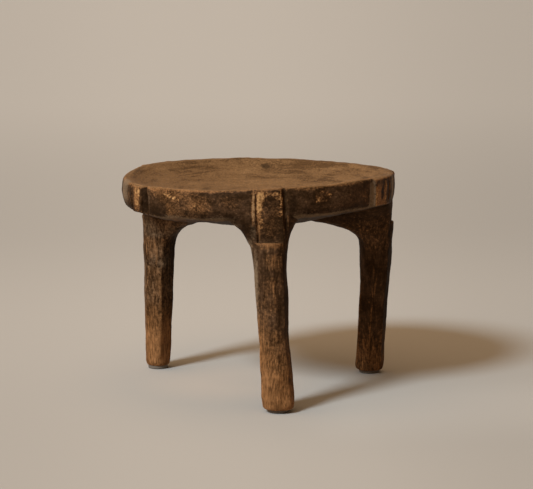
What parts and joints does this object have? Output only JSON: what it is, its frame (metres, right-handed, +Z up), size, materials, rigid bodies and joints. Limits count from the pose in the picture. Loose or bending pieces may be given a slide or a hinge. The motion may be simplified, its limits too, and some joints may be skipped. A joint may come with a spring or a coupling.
{
  "type": "carved three-legged stool",
  "caption": "Round dished stool carved from one block of wood, with splayed legs, raised rim panels between notches, and nailed foot glides.",
  "frame": {"origin": "on the floor, in the middle of the stool's box", "axes": "+Z up, -Y towards the front leg, +X to the right seen from the front"},
  "size_m": [0.4054, 0.4189, 0.3207],
  "materials": {
    "carved_wood": "hand-carved hardwood with a dark, worn and polished patina, rubbed to tan on its edges",
    "glide": "matt greyish rubber",
    "nail_steel": "dull plain steel"
  },
  "bodies": {
    "root": {"stool_body": "carved_wood", "foot_glide_front": "glide", "foot_glide_right": "glide", "foot_glide_left": "glide", "glide_nail_front": "nail_steel", "glide_nail_right": "nail_steel", "glide_nail_left": "nail_steel"}
  },
  "joints": []
}
